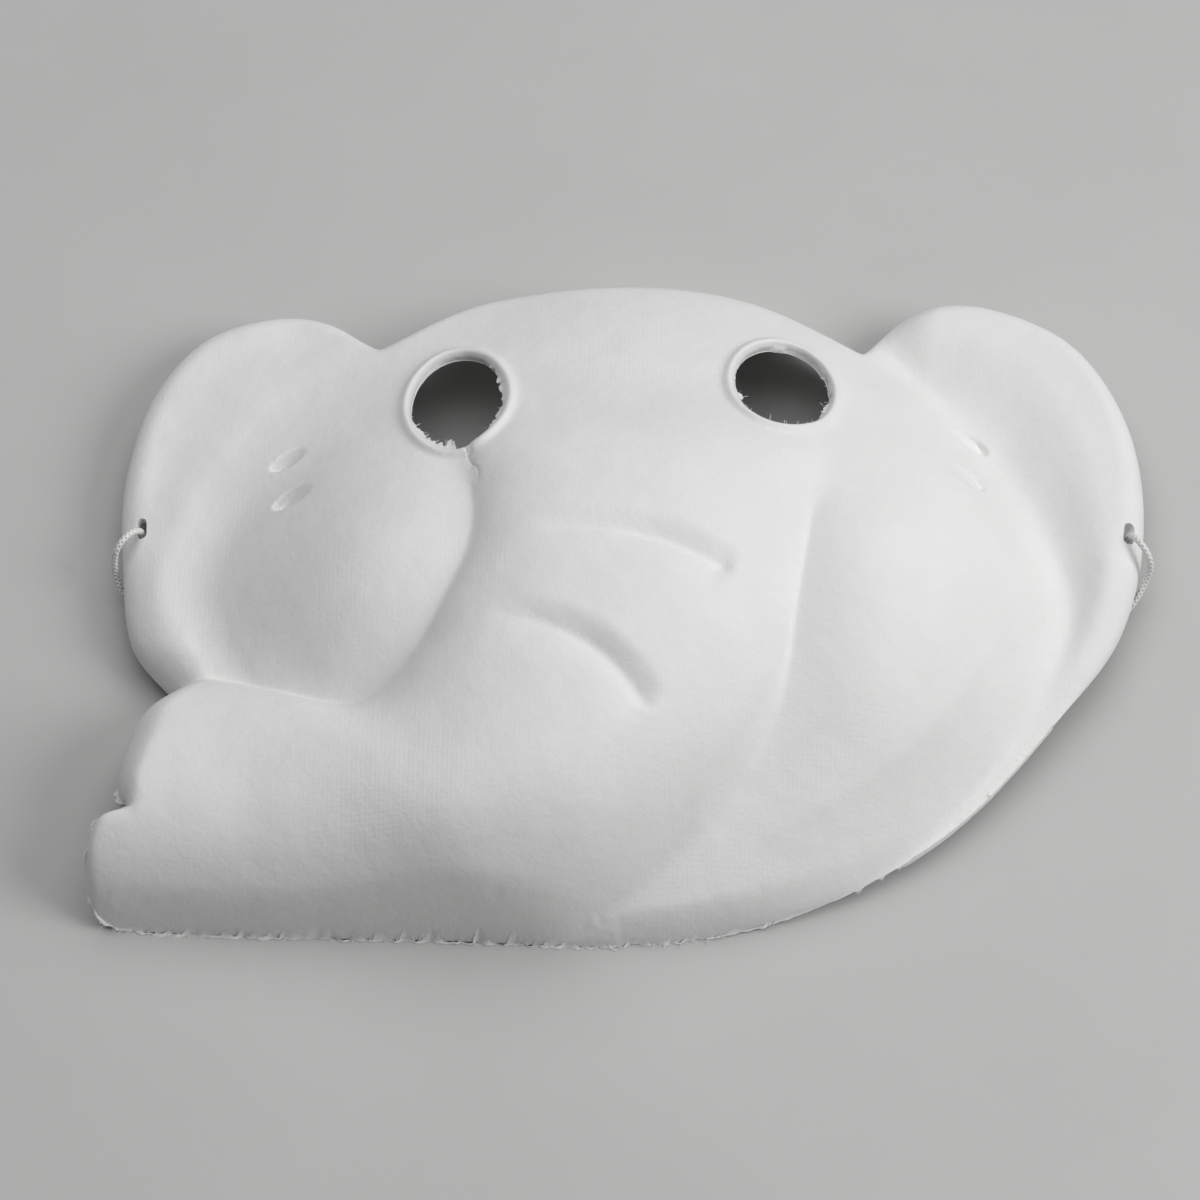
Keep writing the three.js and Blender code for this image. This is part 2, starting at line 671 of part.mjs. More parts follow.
const knots = KNOTS.map(({ name, x, y, z }) => {
  const knot = new THREE.Mesh(new THREE.SphereGeometry(KNOT.radius, 10, 8), rubberThread);
  knot.name = name;
  knot.position.set(x, y, z);
  knot.scale.z = KNOT.flatness;
  return knot;
});

const face = new THREE.Group();
face.add(maskShell, elastic, ...knots);
face.position.set(-footprint.x, -footprint.y, 0);

const mask = new THREE.Group();
mask.add(face);

export default mask;
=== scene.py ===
import math

import bpy
import numpy as np
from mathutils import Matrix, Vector
from mathutils.geometry import delaunay_2d_cdt


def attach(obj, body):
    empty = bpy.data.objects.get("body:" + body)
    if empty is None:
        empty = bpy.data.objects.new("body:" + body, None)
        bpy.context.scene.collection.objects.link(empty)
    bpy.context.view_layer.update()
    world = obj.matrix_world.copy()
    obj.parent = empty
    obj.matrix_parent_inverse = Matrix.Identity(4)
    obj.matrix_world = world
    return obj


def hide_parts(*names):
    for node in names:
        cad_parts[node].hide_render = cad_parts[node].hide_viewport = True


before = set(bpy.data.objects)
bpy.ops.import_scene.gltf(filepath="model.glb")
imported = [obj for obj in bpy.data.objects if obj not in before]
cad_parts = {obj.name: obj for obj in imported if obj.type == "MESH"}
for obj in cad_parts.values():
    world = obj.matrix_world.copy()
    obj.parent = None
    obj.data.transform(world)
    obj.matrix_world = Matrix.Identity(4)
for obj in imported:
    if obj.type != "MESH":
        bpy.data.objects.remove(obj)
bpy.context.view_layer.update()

# A blank mask of moulded paper pulp, an elephant's face with its trunk laid to one side. Plan sizes
# are in millimetres, measured from the middle of the face. FOOT is the middle of the mask's
# footprint there, and FLOOR lies just under the lowest place of the rim.
MM = 0.001
FOOT = (2.7351837, 12.7661896)
FLOOR = -0.16
WALL = 1.8


def place(points):
    """Points of the plan, in millimetres, as points of the frame, in metres."""
    points = np.asarray(points, float)
    return (points - np.array([FOOT[0], FOOT[1], 0.0])) * MM


def turned(u, v, degrees, x=0.0, y=0.0):
    """Offsets in plan, turned anticlockwise about a place."""
    c, s = math.cos(math.radians(degrees)), math.sin(math.radians(degrees))
    return x + c * u - s * v, y + s * u + c * v


def unit(vectors):
    return vectors / np.linalg.norm(vectors, axis=-1, keepdims=True)


def run_along(line):
    """Length of a line from its start to each of its points."""
    return np.concatenate([[0], np.cumsum(np.linalg.norm(np.diff(line, axis=0), axis=1))])


def chunks(count):
    """Slices that take a long list of points a few thousand at a time."""
    return [slice(start, start + 4000) for start in range(0, count, 4000)]


def only(obj):
    bpy.ops.object.select_all(action="DESELECT")
    obj.select_set(True)
    bpy.context.view_layer.objects.active = obj


def link(name, data):
    obj = bpy.data.objects.new(name, data)
    bpy.context.scene.collection.objects.link(obj)
    return obj


# Camera, floor and studio light

def aim(obj, spot, target):
    obj.location = spot
    obj.rotation_euler = (Vector(target) - Vector(spot)).to_track_quat("-Z", "Y").to_euler()


def set_camera():
    data = bpy.data.cameras.new("camera")
    data.lens = 118.8
    data.sensor_width = 36.0
    data.clip_start = 0.05
    data.clip_end = 20.0
    camera = link("camera", data)
    aim(camera, place([0.0, -450.0, 799.423]), place([-4.55, 3.34, 21.93]))
    bpy.context.scene.camera = camera


def soft_light(name, spot, size, watts):
    """A round softbox, aimed at the middle of the footprint."""
    data = bpy.data.lights.new(name, "AREA")
    data.shape = "DISK"
    data.size = size
    data.energy = watts
    aim(link(name, data), spot, (0.0, 0.0, 0.0))


def set_light():
    soft_light("softbox_right", (1.05, -0.24, 0.88), 0.8, 9.2)
    soft_light("softbox_over_head", (-0.03, 0.38, 1.27), 1.7, 11.3)
    world = bpy.data.worlds.new("studio")
    bpy.context.scene.world = world
    world.use_nodes = True
    sky = world.node_tree.nodes["Background"].inputs
    sky["Color"].default_value = (1.0, 1.0, 1.0, 1.0)
    sky["Strength"].default_value = 0.09
    bpy.context.scene.view_settings.view_transform = "Standard"


def lay_floor():
    bpy.ops.object.select_all(action="DESELECT")
    bpy.ops.mesh.primitive_circle_add(vertices=96, radius=3.0, fill_type="NGON",
                                      location=(0, 0, FLOOR * MM))
    floor = bpy.context.active_object
    floor.name = "floor"
    bpy.ops.object.transform_apply(location=True, rotation=True, scale=True)
    floor.data.materials.append(floor_finish())


# Finishes

class Nodes:
    """A material's nodes, with a pattern's place in Object coordinates."""

    def __init__(self, name):
        self.material = bpy.data.materials.new(name)
        self.material.use_nodes = True
        self.tree = self.material.node_tree
        self.shader = self.tree.nodes["Principled BSDF"]
        self.at = self.add("ShaderNodeTexCoord").outputs["Object"]

    def add(self, kind, inputs=None, **settings):
        node = self.tree.nodes.new(kind)
        for key, value in settings.items():
            setattr(node, key, value)
        for key, value in (inputs or {}).items():
            self.put(node.inputs[key], value)
        return node

    def put(self, socket, value):
        if isinstance(value, bpy.types.NodeSocket):
            self.tree.links.new(value, socket)
        else:
            socket.default_value = value

    def math(self, operation, a, b=0.0):
        node = self.add("ShaderNodeMath", operation=operation)
        self.put(node.inputs[0], a)
        self.put(node.inputs[1], b)
        return node.outputs[0]

    def noise(self, scale, detail, rough, distort=0.0):
        node = self.add("ShaderNodeTexNoise", {
            "Vector": self.at, "Scale": scale, "Detail": detail,
            "Roughness": rough, "Distortion": distort,
        })
        return node.outputs["Fac"]

    def span(self, value, low, high, to_low=0.0, to_high=1.0):
        node = self.add("ShaderNodeMapRange", {
            "Value": value, "From Min": low, "From Max": high, "To Min": to_low, "To Max": to_high,
        }, clamp=True)
        return node.outputs["Result"]

    def ramp(self, value, stops):
        node = self.add("ShaderNodeValToRGB", {"Fac": value})
        ramp = node.color_ramp
        while len(ramp.elements) < len(stops):
            ramp.elements.new(0.5)
        for element, (spot, colour) in zip(ramp.elements, stops):
            element.position = spot
            element.color = (*colour, 1.0)
        return node.outputs["Color"]

    def bump(self, height, distance, strength, normal=None):
        node = self.add("ShaderNodeBump", {
            "Height": height, "Distance": distance, "Strength": strength,
        })
        if normal is not None:
            self.put(node.inputs["Normal"], normal)
        return node.outputs["Normal"]


def floor_finish():
    n = Nodes("pale_floor")
    mottle = n.noise(9.0, 4.0, 0.6)
    grey = n.ramp(mottle, [(0.3, (0.545, 0.545, 0.54)), (0.7, (0.575, 0.575, 0.57))])
    n.put(n.shader.inputs["Base Color"], grey)
    n.shader.inputs["Roughness"].default_value = 0.75
    n.shader.inputs["Specular IOR Level"].default_value = 0.25
    return n.material


# Pitch of the forming screen printed in the pulp, in metres
SCREEN_PITCH = 0.00105

# Pulp finishes: darkest and lightest white, coarseness of the grain, strength of the screen's print
PULP = [
    ("pulp_face", ((0.80, 0.80, 0.795), (0.86, 0.86, 0.855)), 1.0, 1.0),
    ("pulp_back", ((0.74, 0.74, 0.73), (0.82, 0.82, 0.81)), 1.9, 0.6),
    ("pulp_torn_edge", ((0.82, 0.82, 0.81), (0.88, 0.88, 0.875)), 2.4, 0.0),
]


def pulp_finish(name, white, grain, weave):
    """Moulded pulp: fibre grain, soft lumps and the faint print of the forming screen."""
    n = Nodes(name)
    split = n.add("ShaderNodeSeparateXYZ", {"Vector": n.at})
    normal = n.add("ShaderNodeNewGeometry").outputs["Normal"]
    facing = n.add("ShaderNodeSeparateXYZ", {"Vector": normal})
    steep = n.span(n.math("ABSOLUTE", facing.outputs["Z"]), 0.25, 0.6)
    drop = n.add("ShaderNodeMix", {
        "Factor": steep, "A": split.outputs["Z"], "B": split.outputs["Y"],
    }, data_type="FLOAT").outputs["Result"]
    wave = 2 * math.pi / SCREEN_PITCH
    across = n.math("SINE", n.math("MULTIPLY", split.outputs["X"], wave))
    along = n.math("SINE", n.math("MULTIPLY", drop, wave))
    screen = n.math("ADD", across, along)
    patch = n.span(n.noise(26.0, 3.0, 0.6), 0.46, 0.66, 0.08, 1.0)
    print_of_screen = n.math("MULTIPLY", screen, patch)
    fibre = n.noise(1500.0, 5.0, 0.65)
    clump = n.noise(420.0, 4.0, 0.6, distort=0.4)
    swell = n.noise(75.0, 3.0, 0.5)
    mottle = n.noise(48.0, 5.0, 0.6)
    dust = n.span(n.noise(900.0, 3.0, 0.7), 0.68, 0.78)
    tone = n.math("ADD", n.math("MULTIPLY", mottle, 0.7), n.math("MULTIPLY", fibre, 0.3))
    low, high = white
    colour = n.ramp(tone, [(0.3, low), (0.7, high)])
    speck = n.add("ShaderNodeMix", {
        "Factor": n.math("MULTIPLY", dust, 0.16), "A": colour, "B": (0.52, 0.51, 0.49, 1.0),
    }, data_type="RGBA")
    n.put(n.shader.inputs["Base Color"], speck.outputs["Result"])
    n.put(n.shader.inputs["Roughness"], n.span(clump, 0.3, 0.7, 0.86, 0.97))
    n.shader.inputs["Specular IOR Level"].default_value = 0.22
    n.shader.inputs["Sheen Weight"].default_value = 0.08
    n.shader.inputs["Sheen Roughness"].default_value = 0.6
    swells = n.bump(swell, 0.0006, 0.5)
    clumps = n.bump(clump, 0.00022 * grain, 0.6, swells)
    woven = n.bump(print_of_screen, 0.000006 * weave, 1.0, clumps)
    n.put(n.shader.inputs["Normal"], n.bump(fibre, 0.00007 * grain, 0.7, woven))
    return n.material


# Cover of the elastic: strands round it, and millimetres of its length to a turn of the pattern
BRAID = dict(strands=3, lay=1.1)


def elastic_finish():
    """Covered elastic: thread wound round a rubber core, on the cord's own length and turn, with
    painted shade in the gaps between the strands.
    """
    n = Nodes("covered_elastic")
    uv = n.add("ShaderNodeUVMap", uv_map="along").outputs["UV"]
    split = n.add("ShaderNodeSeparateXYZ", {"Vector": uv})
    turns = n.math("MULTIPLY", split.outputs["Y"], 2 * math.pi * BRAID["strands"])
    run = n.math("MULTIPLY", split.outputs["X"], 2 * math.pi / BRAID["lay"])
    one_way = n.math("SINE", n.math("ADD", turns, run))
    other_way = n.math("SINE", n.math("SUBTRACT", turns, run))
    braid = n.math("MAXIMUM", one_way, other_way)
    fuzz = n.noise(2600.0, 4.0, 0.7)
    # The gaps between the strands are painted darker, as painted shade in the braid's grooves; the
    # fuzz adds a random tone on top.
    groove_shade_and_fuzz = n.math("ADD", n.span(braid, -0.6, 1.0, 0.0, 0.75), n.math("MULTIPLY", fuzz, 0.25))
    white = n.ramp(groove_shade_and_fuzz, [(0.15, (0.66, 0.66, 0.65)), (0.7, (0.86, 0.86, 0.85))])
    n.put(n.shader.inputs["Base Color"], white)
    n.shader.inputs["Roughness"].default_value = 0.8
    n.shader.inputs["Sheen Weight"].default_value = 0.15
    strands = n.bump(braid, 0.00012, 0.8)
    n.put(n.shader.inputs["Normal"], n.bump(fuzz, 0.00005, 0.6, strands))
    return n.material


# The mask's form, height over the plan

HEAD = dict(
    x=2.5, y=9, half_left=107.5, half_right=100, to_crown=92, to_jaw=82, height=40.5, edge=10,
    jaw_edge=7, jaw_band=(-50, 0), crown_power=1.55, jaw_power=1.6, crown_arch=1.8, jaw_arch=1.7,
    arch_round=0.75, outer_fall=0.6,
)
EARS = dict(
    left=dict(level=16, ridge=-2, blend=3, top_blend=11),
    right=dict(level=11, ridge=5, blend=2.5, top_blend=2.5),
)
EAR = dict(reach=49, ridge_at=0.65, narrow=3, wide=20, fall=7, low=-5, lower=-45, top=(15, 50))
# Between the ears the crown is the head alone: from low to high, fading from middle to side
CROWN = dict(low=30, high=60, middle=15, side=50)
TRUNK_PIVOT = (-105, 40)
TRUNK_FIRST = 5
TRUNK_STEP = 10
TRUNK_ROUNDNESS = 2.2
TRUNK_SIDES = (-0.2, 0.6)
TRUNK_BACK_FALL = 1.2
TRUNK_ROOT = dict(y=22, fall=0.014)
TRUNK_BLEND = dict(low=1.4, high=10, near=14, far=38)
GROOVE = dict(depth=3.5, reach=9, low=10, high=34, start=-20)

# Rim, clockwise from the crown: x, y, lift above the floor, width of the rolled edge, corner
RIM = np.array([
    [0, 98.6, 0, 7, 0], [31, 95, 2, 6, 0], [57.2, 78.5, 9, 2.5, 1], [69.5, 89.5, 9.5, 4, 0],
    [87, 91, 9.5, 4, 0], [108, 80.5, 9, 5, 0], [120, 58, 9, 6, 0], [122, 30, 9, 7, 0],
    [115, 2, 9, 9, 0], [99, -20.6, 9, 6, 0], [77.4, -44.5, 6.4, 5, 0], [53.4, -60.3, 3.6, 5, 0],
    [27, -69.3, 0.4, 4, 0], [-2, -73, 0, 4, 0], [-38, -72, 0, 4, 0], [-78, -71.5, 0, 3, 0],
    [-106, -70.4, 0, 4, 0], [-113.6, -69.3, 2, 3, 0], [-116.6, -66.8, 8.5, 2.5, 0],
    [-116.9, -60.5, 17.8, 2.5, 0], [-114.3, -54, 22.2, 2.5, 0], [-107.6, -51.8, 23.8, 2.5, 1],
    [-111.4, -44, 14, 8, 0], [-112.2, -34, 4, 11, 0], [-109, -23.5, 2, 10, 0],
    [-101, -15, 4, 8, 1], [-112, -2, 7, 11, 0], [-115.5, 19, 9, 9, 0], [-116.5, 40, 9, 6, 0],
    [-112, 63, 9, 5, 0], [-100.5, 80.5, 9, 5, 0], [-83.5, 87, 9.5, 4, 0], [-70, 85, 9.5, 4, 0],
    [-57.5, 75.8, 9, 2.5, 1], [-31, 94, 2, 6, 0],
])
# The face leaves the rim's lift over this many widths of the rolled edge
RIM_BLEND = 3

# Trunk ribs from the forehead to the tip: inner and outer radius, crest, inner and outer edge
# height, how round the sides are (0.5 round, 1 sloping)
TRUNK = np.array([
    [68, 148, 43, 33, 36, 0.8], [71, 148.5, 46.5, 35, 37, 0.8], [74, 150.5, 48.5, 35.5, 37, 0.8],
    [77, 153, 49.5, 35, 34.5, 0.8], [79, 152, 48, 33.5, 27, 0.8], [82, 151, 45, 29.5, 10, 0.75],
    [79, 141, 40, 19, 0, 0.6], [63, 126, 34.5, 7, 0, 0.5], [54, 117, 31, 3, 0, 0.5],
    [51.5, 112, 29.5, 2, 0, 0.5], [51, 110, 28.5, 2, 0, 0.5], [51, 109, 28, 2, 0, 0.5],
])

# Cheeks: x, y, half width, half height, rise. They fade out before the head's edge
CHEEKS = [(-58, 4, 24, 34, 6), (60, -8, 27, 44, 9.5)]
CHEEK_FADE = 4

# Wrinkles across the trunk: points of the crease, width of the steep wall above it, reach of the
# gentle side below, depth, and the share of the depth at its left end
WRINKLES = [
    ([(-23, 7.2), (-2.2, 6.6), (11.5, 3.6), (25.3, -2.6)], 6, 3, 2.8, 0.35),
    ([(-29.6, -12.4), (-14, -18), (-2.8, -25.2), (7.1, -37)], 5.6, 5, 2.7, 0.5),
]
# Shares of a wrinkle's length where it is at full depth and over which its ends fade, and the bow
# of its wall
WRINKLE = dict(full=0.7, first=0.25, last=0.12, bow=1.4)

# Temple dents: x, y, turn in degrees, half length, half width, depth at the outer end
DENTS = [
    (-77.2, 41.5, 32, 4.6, 2, 3), (-75.4, 29, 28, 4.8, 2.3, 3.2),
    (81.9, 53, 146, 5, 1.9, 1.8), (80.4, 39.4, 150, 4.8, 2.1, 1.6),
]
# Shares of a dent's half size where its floor runs out, its wall begins and its wall ends
DENT = dict(floor=1.05, inner=0.7, outer=1.15)

# Eye holes: x, y, half width, half height, lean in degrees
EYES = [(-38.1, 51.9, 10.9, 16.5, 3), (37.5, 57.2, 11.2, 15.1, -3)]

# Slots for the elastic: x, y, turn in degrees
SLOTS = [(-111.2, 26, 4), (117.7, 26.3, -8)]
SLOT = dict(width=2.5, length=5.6)


def cubic(a, b, c, d, t):
    return b + 0.5 * t * (c - a + t * (2 * a - 5 * b + 4 * c - d + t * (3 * (b - c) + d - a)))


def smooth(value, low, high):
    t = np.clip((value - low) / (high - low), 0, 1)
    return t * t * (3 - 2 * t)


def soft_max(a, b, blend):
    near = np.maximum(blend - np.abs(a - b), 0) / blend
    return np.maximum(a, b) + near * near * blend / 4


def rim_at(position):
    """x, y, lift and roll at places counted in rows of the rim table."""
    count = len(RIM)
    position = np.asarray(position, float) % count
    i = np.floor(position).astype(int)
    t = (position - i)[:, None]
    b, c = RIM[i % count], RIM[(i + 1) % count]
    before, after = RIM[(i - 1) % count], RIM[(i + 2) % count]
    a = np.where(b[:, 4:] > 0, 2 * b - c, before)
    d = np.where(c[:, 4:] > 0, 2 * c - b, after)
    return cubic(a, b, c, d, t)[:, :4]


RIM_LINE = rim_at(np.arange(len(RIM) * 24) / 24)


def inside(loop, x, y):
    a, b = loop, np.roll(loop, -1, 0)
    odd = np.zeros(len(x), bool)
    rise = np.where(b[:, 1] == a[:, 1], 1e-12, b[:, 1] - a[:, 1])
    for part in chunks(len(x)):
        px, py = x[part, None], y[part, None]
        spans = (a[:, 1] > py) != (b[:, 1] > py)
        cross = px < a[:, 0] + (py - a[:, 1]) * (b[:, 0] - a[:, 0]) / rise
        odd[part] = (spans & cross).sum(1) % 2 == 1
    return odd


def nearest_rim(x, y):
    """Distance inwards from the rim, and the rim's lift and roll at its nearest place."""
    a, b = RIM_LINE, np.roll(RIM_LINE, -1, 0)
    step = b - a
    square = (step[:, :2] ** 2).sum(1)
    found = np.empty((len(x), 3))
    for part in chunks(len(x)):
        px, py = x[part, None], y[part, None]
        t = ((px - a[:, 0]) * step[:, 0] + (py - a[:, 1]) * step[:, 1]) / square
        t = np.clip(t, 0, 1)
        far = np.hypot(px - a[:, 0] - t * step[:, 0], py - a[:, 1] - t * step[:, 1])
        k = far.argmin(1)
        rows = np.arange(len(k))
        found[part, 0] = far[rows, k]
        found[part, 1:] = a[k, 2:] + t[rows, k, None] * step[k, 2:]
    found[:, 0] *= np.where(inside(RIM_LINE[:, :2], x, y), 1, -1)
    return found.T


def head_rise(y):
    """How far up or down the head a place is: 0 at its middle, 1 at the crown or the jaw."""
    up = y - HEAD["y"]
    return np.where(up > 0, up / HEAD["to_crown"], -up / HEAD["to_jaw"])


def head_half(x):
    return np.where(x < HEAD["x"], HEAD["half_left"], HEAD["half_right"])


def head_power(y):
    return np.where(y > HEAD["y"], HEAD["crown_power"], HEAD["jaw_power"])


def head_spread(x, y):
    """Below 1 on the head's plan, 1 at its edge, where the ears begin."""
    return ((x - HEAD["x"]) / head_half(x)) ** 2 + head_rise(y) ** head_power(y)


def head_height(x, y, spread):
    along = head_rise(y)
    arch_power = np.where(y > HEAD["y"], HEAD["crown_arch"], HEAD["jaw_arch"])
    edge = HEAD["jaw_edge"] + (HEAD["edge"] - HEAD["jaw_edge"]) * smooth(y, *HEAD["jaw_band"])
    arch = np.maximum(1 - along ** arch_power, 0) ** HEAD["arch_round"]
    half = head_half(x) * np.sqrt(np.maximum(1 - along ** head_power(y), 1e-4))
    left = np.maximum(1 - ((x - HEAD["x"]) / half) ** 2, -1)
    section = np.where(left > 0, arch * left, HEAD["outer_fall"] * left)
    z = edge + (HEAD["height"] - edge) * section
    for cx, cy, half_width, half_height, rise in CHEEKS:
        swell = np.exp(-((x - cx) / half_width) ** 2 - ((y - cy) / half_height) ** 2)
        z = z + rise * swell * np.clip(CHEEK_FADE * (1 - spread), 0, 1)
    return z


def trunk_height(x, y):
    """The trunk's height, and the distance outside its outer edge."""
    dx, dy = x - TRUNK_PIVOT[0], y - TRUNK_PIVOT[1]
    angle = np.degrees(np.arctan2(dy, dx))
    angle = np.where(angle > 90, angle - 360, angle)
    last = len(TRUNK) - 1
    spot = np.clip((TRUNK_FIRST - angle) / TRUNK_STEP, 0, last - 0.001)
    i = np.floor(spot).astype(int)
    rows = [TRUNK[np.clip(i + k, 0, last)] for k in (-1, 0, 1, 2)]
    inner, outer, crest, inner_edge, outer_edge, side = cubic(*rows, (spot - i)[:, None]).T
    half = (outer - inner) / 2
    across = (np.hypot(dx, dy) - inner - half) / half
    edge = inner_edge + (outer_edge - inner_edge) * smooth(across, -1, 1)
    off = np.abs(across)
    power = 0.5 + (side - 0.5) * smooth(across, *TRUNK_SIDES)
    fall = TRUNK_ROOT["fall"] * np.maximum(y - TRUNK_ROOT["y"], 0) ** 2
    bowed = edge + (crest - edge) * np.maximum(1 - off ** TRUNK_ROUNDNESS, 0) ** power
    height = np.where(off < 1, bowed, edge - TRUNK_BACK_FALL * (off - 1) * half) - fall
    return height, (across - 1) * half


def spline(points, count):
    points = np.asarray(points, float)
    ends = np.vstack([points[:1], points, points[-1:]])
    line = []
    for i in range(len(points) - 1):
        t = np.linspace(0, 1, count, endpoint=False)[:, None]
        line.append(cubic(ends[i], ends[i + 1], ends[i + 2], ends[i + 3], t))
    return np.vstack([*line, points[-1:]])


def wrinkle_depth(x, y):
    depth = np.zeros(len(x))
    for points, above, below, deep, start in WRINKLES:
        line = spline(points, 20)
        run = np.gradient(line, axis=0)
        for part in chunks(len(x)):
            dx = x[part, None] - line[:, 0]
            dy = y[part, None] - line[:, 1]
            far = np.hypot(dx, dy)
            k = far.argmin(1)
            rows = np.arange(len(k))
            far = far[rows, k]
            upper = run[k, 0] * dy[rows, k] > run[k, 1] * dx[rows, k]
            at = k / (len(line) - 1)
            taper = start + (1 - start) * smooth(at, 0, WRINKLE["full"])
            taper = taper * smooth(at, 0, WRINKLE["first"]) * smooth(1 - at, 0, WRINKLE["last"])
            wall = np.maximum(1 - far / above, 0) ** WRINKLE["bow"]
            depth[part] += deep * taper * np.where(upper, wall, np.exp(-far / below))
    return depth


def dent_depth(x, y):
    depth = np.zeros(len(x))
    for cx, cy, turn, half_length, half_width, deep in DENTS:
        u, v = turned(x - cx, y - cy, -turn)
        along, across = u / half_length, v / half_width
        floor = np.clip((DENT["floor"] - along) / 2, 0, 1)
        wall = smooth(np.hypot(along, across), DENT["inner"], DENT["outer"])
        depth += deep * floor * (1 - wall)
    return depth


def ear_height(x, y, inward, spread):
    """The ear's height, and how softly it meets the head."""
    past = np.maximum(spread - 1, 0) * EAR["reach"]
    width = past + np.maximum(inward, 0)
    dish = smooth(past / (width + 1e-6), 0, EAR["ridge_at"])
    dish = dish * smooth(width, EAR["narrow"], EAR["wide"])
    side = lambda key: np.where(x < 0, EARS["left"][key], EARS["right"][key])
    level = side("level") - EAR["fall"] * smooth(-y, -EAR["low"], -EAR["lower"])
    blend = side("blend") + (side("top_blend") - side("blend")) * smooth(y, *EAR["top"])
    return level + side("ridge") * dish, blend


def face_and_trunk(x, y, inward):
    spread = head_spread(x, y)
    ear, ear_blend = ear_height(x, y, inward, spread)
    head = head_height(x, y, spread)
    crown = smooth(y, CROWN["low"], CROWN["high"])
    crown = crown * (1 - smooth(np.abs(x), CROWN["middle"], CROWN["side"]))
    face = head + (soft_max(head, ear, ear_blend) - head) * (1 - crown)
    trunk, beside = trunk_height(x, y)
    groove = np.exp(-np.maximum(beside, 0) / GROOVE["reach"]) * (beside > GROOVE["start"])
    return face - GROOVE["depth"] * groove * smooth(-y, -GROOVE["high"], -GROOVE["low"]), trunk


def form_height(x, y):
    inward, lift, roll = nearest_rim(x, y)
    face, trunk = face_and_trunk(x, y, inward)
    rise = smooth(y, TRUNK_BLEND["near"], TRUNK_BLEND["far"])
    blend = TRUNK_BLEND["low"] + (TRUNK_BLEND["high"] - TRUNK_BLEND["low"]) * rise
    full = soft_max(face, trunk, blend) - wrinkle_depth(x, y)
    rolled = 1 - np.clip(inward / roll, 0, 1)
    low = lift + (np.minimum(lift, full) - lift) * smooth(inward, 0, RIM_BLEND * roll)
    return low + np.maximum(full - low, 0) * np.sqrt(1 - rolled ** 2)


# Hand-made unevenness: smooth seeded noise along a line and over the plan

def ripple(at, pitch, seed):
    lattice = np.random.RandomState(seed).uniform(-1, 1, 512)
    at = np.asarray(at, float) / pitch
    i = np.floor(at).astype(int)
    rows = [lattice[(i + k) % 512] for k in (-1, 0, 1, 2)]
    return cubic(*rows, at - i)


def ripples(at, waves):
    return sum(height * ripple(at, pitch, seed) for height, pitch, seed in waves)


def lumps(x, y, pitch, seed):
    lattice = np.random.RandomState(seed).uniform(-1, 1, (64, 64))
    u, v = x / pitch, y / pitch
    i, j = np.floor(u).astype(int), np.floor(v).astype(int)
    rows = []
    for k in (-1, 0, 1, 2):
        cells = [lattice[(i + k) % 64, (j + m) % 64] for m in (-1, 0, 1, 2)]
        rows.append(cubic(*cells, v - j))
    return cubic(*rows, u - i)


# The shell's skin: rows along the rim and round the holes, an even net between them

RIM_PITCH = 0.8
RIM_ROWS = [-0.8, -0.15, 0.04, 0.13, 0.3, 0.55, 0.9, 1.3, 1.75]
EYE_POINTS = 264
EYE_ROWS = [0, 0.25, 0.6, 1.0, 1.4, 1.8, 2.3, 2.9, 3.6]
SLOT_ROWS = [0, 0.3]
NET = 1.15
NET_GAP = 0.6 * NET
SLOT_GAP = 1.1
CRACK_GAP = 0.5
# Height of a triangle with three sides of 1
EVEN = math.sqrt(0.75)

# The rim's torn edge. Ripples are height, pitch and seed. They are faint all round, stronger along
# the low edge and strongest at the trunk, where scraps stand out and a fringe lies on the floor
TORN = [(0.32, 2.1, 11), (0.26, 0.9, 12)]
TORN_SHARE = dict(all_round=0.05, low_edge=0.18, trunk=0.8)
TORN_DEEP = 0.3
LOW_EDGE = (5, 45)
TRUNK_EDGE = (-40, 10)
SCRAPS = dict(height=0.6, pitch=3.7, seed=13)
FRINGE = [(0.5, 1.7, 14), (0.3, 0.8, 15)]
FRINGE_EDGE = (-70, -10)
FRINGE_REACH = dict(middle=0.6, least=0.03, most=1)
FRINGE_RISE = dict(least=0.02, most=0.55)
# The torn edge is even for this far from the place where the rim closes
CLOSING = 6

# The torn edge of the eye holes: mean radius, ripples as height and pitch, their depth into the
# skin, their share on the clean side, the middle of the rough side in degrees, and where it ends
EYE_SEEDS = (31, 47)
EYE_RADIUS = 11.7
EYE_TORN = [(0.28, 1.5), (0.3, 0.55)]
EYE_DEEP = 0.8
EYE_CLEAN = 0.12
EYE_ROUGH = dict(middle=300, full=60, end=150)

# Flaps of pulp left at the torn eye holes: middle and half width in degrees, reach into the hole
EYE_FLAPS = [
    [(214, 14, 0.9), (240, 15, 1.7), (259, 8, 2.2), (279, 5, -0.5), (0, 42, 0.5), (322, 14, 0.4)],
    [(203, 6, 0.9), (338, 16, 0.75), (303, 10, 0.6), (95, 8, 0.45), (262, 12, 0.3)],
]
FLAP_RIPPLE = dict(height=0.4, pitch=0.6)
# The eye holes widen by this much towards the back
EYE_FLARE = 0.5

# Collar round the eye holes: its crest's height, distance outside the hole, half width and
# squareness, and the drop of the torn edge between two distances outside the hole
COLLAR = dict(height=1.25, at=1.5, half=1.15, square=2.4, drop=1.1, outer=0.9, inner=-0.7)
COLLAR_ENDS = -2.5

# The crack under the left eye hole: its course, depth, half width, and lines of the net along it
CRACK_COURSE = [(-35.6, 34.6), (-35, 32.8), (-34.2, 30.6), (-32.7, 28), (-32.3, 26), (-32.7, 24.2)]
CRACK = spline(CRACK_COURSE, 12)
CRACK_DEPTH = 0.6
CRACK_HALF = 0.2
CRACK_NET = (-0.6, -0.2, 0, 0.2, 0.6)

# Lumps of the skin, as height, pitch and seed, and the band along the rim where they fade
LUMPS = [(0.10, 9.0, 5), (0.05, 3.1, 6)]
LUMPS_FADE = (0.5, 6)


